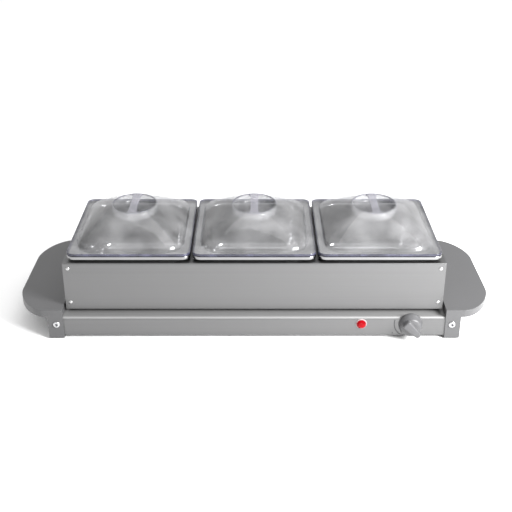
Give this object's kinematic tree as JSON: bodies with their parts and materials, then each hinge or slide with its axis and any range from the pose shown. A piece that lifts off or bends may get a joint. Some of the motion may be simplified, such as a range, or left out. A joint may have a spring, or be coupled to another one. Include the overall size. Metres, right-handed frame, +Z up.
{
  "type": "electric buffet server",
  "caption": "Low heated base with end handles and a thermostat knob, carrying a lift-off steel frame with deep pans under clear domed lids.",
  "frame": {"origin": "middle of the footprint, on the surface that the rubber feet stand on", "axes": "+X towards the control side, right as a guest in front sees it; -Y towards the guest, where the knob is; +Z up"},
  "size_m": [0.658, 0.262, 0.156],
  "materials": {
    "plate_steel": "satin",
    "brushed_steel": "brushed",
    "cover_steel": "galvanised",
    "grey_plastic": "fine moulded texture",
    "knob_plastic": "fine moulded texture",
    "screw_chrome": "bright",
    "black_rubber": "matt",
    "aluminium": "mill",
    "heater_tube": "heat-darkened",
    "clip_steel": "zinc",
    "ceramic": "unglazed",
    "insulation": "fibre board",
    "white_plastic": "moulded",
    "copper": "drawn",
    "lamp_clear": "polished",
    "lamp_red": "faceted",
    "brass": "turned",
    "black_plastic": "moulded",
    "wire_brown": "extruded",
    "wire_blue": "extruded",
    "wire_green": "extruded",
    "dial_ink": "printed",
    "pan_steel": "polished",
    "clear_lid": "clear moulded plastic"
  },
  "bodies": {
    "base": {"warming_plate": "plate_steel", "front_panel": "brushed_steel", "rear_panel": "brushed_steel", "bottom_cover": "cover_steel", "left_end_cap": "grey_plastic", "right_end_cap": "grey_plastic", "end_cap_screws": "screw_chrome", "end_cap_nuts": "screw_chrome", "rubber_feet": "black_rubber", "bottom_cover_screws": "screw_chrome", "heat_spreader": "aluminium", "heating_element": "heater_tube", "heater_clamps": "clip_steel", "heater_terminals": "ceramic", "insulation_board": "insulation", "insulation_pillars": "clip_steel", "thermostat_body": "white_plastic", "thermostat_nut": "clip_steel", "thermostat_bulb": "copper", "thermal_fuse": "clip_steel", "fuse_clip": "clip_steel", "lamp_bezel": "lamp_clear", "lamp_lens": "lamp_red", "lamp_housing": "white_plastic", "terminal_block": "white_plastic", "terminal_screws": "screw_chrome", "earth_stud": "brass", "cable_gland": "black_plastic", "gland_nut": "black_plastic", "cord_clamp": "white_plastic", "wire_live": "wire_brown", "wire_neutral": "wire_blue", "wire_earth": "wire_green", "dial_arc": "dial_ink"},
    "control_knob": {"knob": "knob_plastic", "thermostat_shaft": "clip_steel", "knob_spring_clip": "clip_steel"},
    "pan_frame": {"frame_front": "brushed_steel", "frame_rear": "brushed_steel", "frame_left_side": "brushed_steel", "frame_right_side": "brushed_steel", "frame_divider_left": "brushed_steel", "frame_divider_right": "brushed_steel", "frame_rivets": "screw_chrome", "frame_pads": "black_rubber"},
    "left_pan": {"pan_left": "pan_steel"},
    "left_lid": {"lid_left": "clear_lid"},
    "centre_pan": {"pan_centre": "pan_steel"},
    "centre_lid": {"lid_centre": "clear_lid"},
    "right_pan": {"pan_right": "pan_steel"},
    "right_lid": {"lid_right": "clear_lid"}
  },
  "joints": [
    {"name": "knob_turn", "type": "hinge", "parent": "base", "child": "control_knob", "pos_m": [0.214, -0.112, 0.0232], "axis": [0, 1, 0], "range_deg": [0, 270]},
    {"name": "frame_lift", "type": "slide", "parent": "base", "child": "pan_frame", "axis": [0, 0, 1], "range_m": [0, 0.12]},
    {"name": "left_pan_lift", "type": "slide", "parent": "pan_frame", "child": "left_pan", "axis": [0, 0, 1], "range_m": [0, 0.09]},
    {"name": "left_lid_lift", "type": "slide", "parent": "left_pan", "child": "left_lid", "axis": [0, 0, 1], "range_m": [0, 0.08]},
    {"name": "centre_pan_lift", "type": "slide", "parent": "pan_frame", "child": "centre_pan", "axis": [0, 0, 1], "range_m": [0, 0.09]},
    {"name": "centre_lid_lift", "type": "slide", "parent": "centre_pan", "child": "centre_lid", "axis": [0, 0, 1], "range_m": [0, 0.08]},
    {"name": "right_pan_lift", "type": "slide", "parent": "pan_frame", "child": "right_pan", "axis": [0, 0, 1], "range_m": [0, 0.09]},
    {"name": "right_lid_lift", "type": "slide", "parent": "right_pan", "child": "right_lid", "axis": [0, 0, 1], "range_m": [0, 0.08]}
  ]
}
